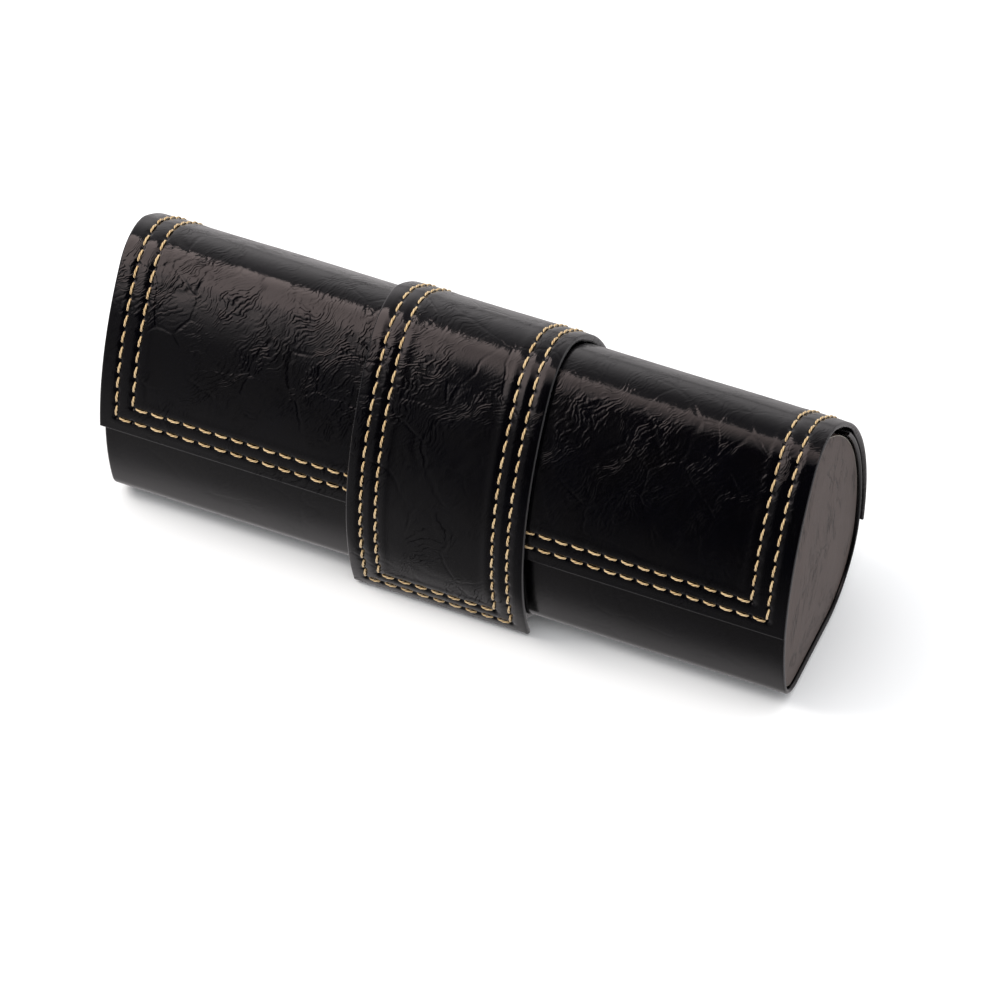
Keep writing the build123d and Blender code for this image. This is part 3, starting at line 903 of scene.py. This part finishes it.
def flap_inner(v):
    """The fixed tail lies on the trough; past the hinge the flap stands clear of it."""
    turn_v = flap_path.distance_to(hinge_angle("flap_hinge"))
    fixed, free = TROUGH_OUTER + GLUE, FLAP_INNER + 0.08
    return fixed + (free - fixed) * smoothstep(turn_v - 3, turn_v + 3, v)


flap = leather_sheet("flap_sheet", flap_path, flap_half, flap_inner, FLAP_OUTER, flap_leather,
                     seams=flap_seams, bevel=0.6, seed=3, crease=0.35)


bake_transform(flap)
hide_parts("flap_cover", "flap_board", "flap_tail_cover", "flap_tail_board")
for row_name, seam in zip(("outer", "inner"), flap_seams):
    row = stitch_mesh(f"flap_{row_name}_thread", flap_path, seam, FLAP_OUTER, thread)
    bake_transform(row)
    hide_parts(f"flap_{row_name}_stitching",
                *(["flap_tail_stitching"] if row_name == "outer" else []))

# %% [markdown]
# ## The strap
# The strap is the case's lock. Its fixed half runs from behind the tip, under the base and up the back
# on to the flap. Its loose half goes on over the crown and down the front, where a magnet in the tip
# meets a steel plate. It bends at two hinge lines, one on the case and one on the flap, and a mesh
# can bend at only one. So it is two sheets, cut between the two lines where nothing bends, and their
# edges meet there with the same curve.

# %% Fixed half
STRAP_INSETS = (3.7, 7.3)
FOOT_NARROWING = 1.2
strap_cut = (hinge_angle("flap_hinge") + hinge_angle("strap_hinge")) / 2
strap_foot = front_angle(STRAP_TAIL_HEIGHT)
fixed_path = Path(strap_foot, strap_cut, STRAP_OUTER)
tail_v = fixed_path.distance_to(flap_tail_end)
foot_v = fixed_path.distance_to(0.75 * TURN)


def fixed_inner(v):
    """On the trough under the base, then up over the flap's tail."""
    step = smoothstep(tail_v - 1.2, tail_v - 0.4, v)
    return TROUGH_OUTER + GLUE + (FLAP_OUTER + 0.05 - TROUGH_OUTER) * step


def fixed_outer(v):
    """The outside rises over a longer run, as padded leather does."""
    low = TROUGH_OUTER + STRAP_FIXED_THICKNESS
    return low + (STRAP_OUTER - low) * smoothstep(tail_v - 6.5, tail_v + 1.5, v)


def flat_on_base(v):
    """No waves where the strap bears on the surface below."""
    return smoothstep(tail_v - 8, tail_v, v)


def foot_width(v):
    """The hidden foot is cut narrower on each side, so that it stays behind the tip."""
    return 1 - FOOT_NARROWING / strap_half * (1 - smoothstep(foot_v - 6, foot_v + 2, v))


fixed_seams = [Seam(strap_half, fixed_path.length, inset, False, False, first=tail_v + 1.0)
               for inset in STRAP_INSETS]
strap_fixed = leather_sheet("strap_fixed", fixed_path, strap_half, fixed_inner, fixed_outer,
                            strap_leather, free=(True, False), seams=fixed_seams, bevel=0.6,
                            seed=21, crease=0.35, soften=flat_on_base, narrow=foot_width)
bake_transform(strap_fixed)
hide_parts("strap_tail_cover", "strap_tail_board", "strap_root_cover", "strap_root_board")
for row_name, seam in zip(("outer", "inner"), fixed_seams):
    row = stitch_mesh(f"strap_fixed_{row_name}_thread", fixed_path, seam, STRAP_OUTER, thread)
    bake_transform(row)
    if row_name == "outer":
        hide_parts("strap_tail_stitching", "strap_root_stitching")

# %% Loose half
strap_tip = TURN + front_angle(STRAP_TIP_HEIGHT, STRAP_OUTER)
loose_path = Path(strap_cut, strap_tip, STRAP_OUTER, STRAP_ARCS)
strap_turn_v = loose_path.distance_to(hinge_angle("strap_hinge"))


def loose_inner(v):
    """Sewn down on the flap at its root, clear of it past its hinge line."""
    clear = smoothstep(strap_turn_v - 2, strap_turn_v + 2, v)
    return FLAP_OUTER + 0.07 + (STRAP_INNER - FLAP_OUTER) * clear


loose_seams = [Seam(strap_half, loose_path.length, inset, False, True) for inset in STRAP_INSETS]
strap_loose = leather_sheet("strap_loose", loose_path, strap_half, loose_inner, STRAP_OUTER,
                            strap_leather, free=(False, True), seams=loose_seams, bevel=0.6,
                            seed=21, crease=0.35, hide_start=fixed_path.length)
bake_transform(strap_loose)
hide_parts("strap_cover", "strap_board")
for row_name, seam in zip(("outer", "inner"), loose_seams):
    row = stitch_mesh(f"strap_{row_name}_thread", loose_path, seam, STRAP_OUTER, thread)
    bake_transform(row)
    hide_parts(f"strap_{row_name}_stitching")

# %% [markdown]
# ## What stays as built
# Boards, linings, the magnet and its plate already have their true shape, so they keep the
# construction model's meshes and only get a finish. Most are out of sight until the case is opened.

# %% Finishes for the remaining nodes
FINISHES = {"lining": microfibre, "board": greyboard, "strap_magnet": nickel,
            "strike_plate": bare_steel}
for name, node in frame["nodes"].items():
    for word, finish in FINISHES.items():
        if word in name:
            for place in node.material_slots:
                place.material = finish
            break

# %% [markdown]
# ## Studio
# Black gloss shows what it mirrors and almost nothing of its own colour. In a real studio it is shot
# inside a light tent: a large box overhead and in front, with a hard far edge and a soft near one, a
# bright backdrop behind and darkness at the level of the eye. Area lights could stand in for each, but
# every one is a rectangle of even light. A long tube round the case, whose glow is a formula of its
# angle and its place along X, gives all the soft fades in one object. It is seen only in reflections.
# The floor and the lamps give the plain light, and they stay out of the reflections.

# %% Floor, light tent and lamps
def plain_floor(name):
    material, tree, shader = new_material(name)
    fill(tree, shader, Base_Color=(0.93, 0.93, 0.93, 1.0), Roughness=0.9, Specular_IOR_Level=0.1)
    return material


def stage_object(name, vertices, faces, material):
    mesh = bpy.data.meshes.new(name)
    mesh.from_pydata(vertices, [], faces)
    mesh.materials.append(material)
    piece = bpy.data.objects.new(name, mesh)
    bpy.context.collection.objects.link(piece)
    return piece


TENT_RADIUS, TENT_HALF = 0.70, 1.6


def tent_glow(name):
    """Glow by angle round the tent: 0 in front, 90 overhead, 180 behind, negative below."""
    material, tree, shader = new_material(name)
    x, y, z = add(tree, "ShaderNodeSeparateXYZ", Vector=place_of(tree)).outputs
    angle = maths(tree, "DEGREES", maths(tree, "ARCTAN2", z, times(tree, y, -1.0)))
    rightward = remap(tree, x, -0.28, -0.09)
    box_top = times_plus(tree, rightward, -21.0, 104.0)
    box_foot = times_plus(tree, rightward, 36.0, 22.0)
    past_top = minus(tree, angle, box_top)
    inside = times(tree, remap(tree, past_top, -1.2, 1.2, 1.0, 0.0),
                   remap(tree, minus(tree, angle, box_foot), -15.0, 15.0))
    power = times_plus(tree, rightward, -1.08, 1.84)
    power = times(tree, power, remap(tree, past_top, -22.0, 0.0, 1.0, 1.6))
    gloom = times_plus(tree, rightward, -0.150, 0.158)
    glow = times_plus(tree, inside, power, gloom)
    below = times(tree, angle, -1.0)
    fades = [(angle, 72.0, 82.0, 0.22), (angle, 98.0, 158.0, 0.80), (angle, 160.0, 180.0, -0.35),
             (below, 0.0, 45.0, 0.12), (below, 56.0, 74.0, 0.34), (below, 85.0, 110.0, -0.05)]
    for level, start, end, gain in fades:
        glow = plus(tree, glow, remap(tree, level, start, end, 0.0, gain))
    tint = mix_colour(tree, inside, (1.0, 0.955, 0.965, 1.0), (1.14, 0.94, 0.90, 1.0))
    fill(tree, shader, Base_Color=(0, 0, 0, 1), Specular_IOR_Level=0.0, Emission_Color=tint,
         Emission_Strength=glow)
    material.cycles.emission_sampling = "NONE"
    return material


floor = stage_object("floor", [(-4, -4, 0), (4, -4, 0), (4, 4, 0), (-4, 4, 0)], [(0, 1, 2, 3)],
                     plain_floor("pale_floor"))
floor.location.z = -0.0002
floor.visible_glossy = False
around = np.linspace(0, TURN, 181)[:-1]
tent_points = [(x, TENT_RADIUS * cos(a), TENT_RADIUS * sin(a))
               for x in (-TENT_HALF, TENT_HALF) for a in around]
count = len(around)
tent_faces = [(k, (k + 1) % count, (k + 1) % count + count, k + count) for k in range(count)]
tent = stage_object("light_tent", tent_points, tent_faces, tent_glow("tent_glow"))
tent.location.z = cad_high[2] / 2
tent.visible_camera = tent.visible_diffuse = tent.visible_shadow = False
tent.visible_transmission = tent.visible_volume_scatter = False


def lamp(name, place, aim, size, power, colour=(1, 1, 1)):
    """A square soft lamp that faces a point and stays out of reflections."""
    light = bpy.data.lights.new(name, "AREA")
    light.size = size
    light.energy = power
    light.color = colour
    holder = bpy.data.objects.new(name, light)
    holder.location = place
    holder.rotation_euler = (Vector(aim) - Vector(place)).to_track_quat("-Z", "Y").to_euler()
    holder.visible_glossy = False
    bpy.context.collection.objects.link(holder)


middle = (cad_low + cad_high) / 2
lamp("key", (-0.75, -0.25, 0.95), middle, 0.5, 7.0, (1.0, 0.96, 0.92))
lamp("overhead", (0.0, 0.0, 1.6), (0, 0, 0), 2.2, 20.0)

world = bpy.data.worlds.new("studio")
world.use_nodes = True
bpy.context.scene.world = world
sky = world.node_tree.nodes["Background"]
seen_in_gloss = add(world.node_tree, "ShaderNodeLightPath").outputs["Is Glossy Ray"]
sky_power = add(world.node_tree, "ShaderNodeMapRange", i0=seen_in_gloss, i3=0.85, i4=0.25).outputs[0]
fill(world.node_tree, sky, Color=(0.97, 0.98, 1.0, 1.0), Strength=sky_power)
bpy.context.scene.view_settings.view_transform = "Standard"

# %% [markdown]
# ## Camera
# A long lens from a metre and a half away keeps the case's long edges almost parallel. A shorter one
# nearby would make the near end look swollen. The camera stands to the right of the front and well
# above it.

# %% Camera
AZIMUTH, ELEVATION = radians(22.9), radians(47.7)
DISTANCE = 1.5
VIEW_WIDTH = 0.2245
AIM_RIGHT, AIM_UP = 0.0059, 0.0098
back = Vector((sin(AZIMUTH) * cos(ELEVATION), -cos(AZIMUTH) * cos(ELEVATION), sin(ELEVATION)))
right = Vector((cos(AZIMUTH), sin(AZIMUTH), 0.0))
up = back.cross(right)
foot = Vector((0.0, SHIFT[0] * MM, SHIFT[1] * MM))
aim = foot + right * AIM_RIGHT + up * AIM_UP
lens = bpy.data.cameras.new("camera")
lens.sensor_width = 36.0
lens.lens = 36.0 * DISTANCE / VIEW_WIDTH
lens.clip_end = 20.0
camera = bpy.data.objects.new("camera", lens)
camera.location = aim + back * DISTANCE
camera.rotation_euler = (-back).to_track_quat("-Z", "Y").to_euler()
bpy.context.collection.objects.link(camera)
bpy.context.scene.camera = camera
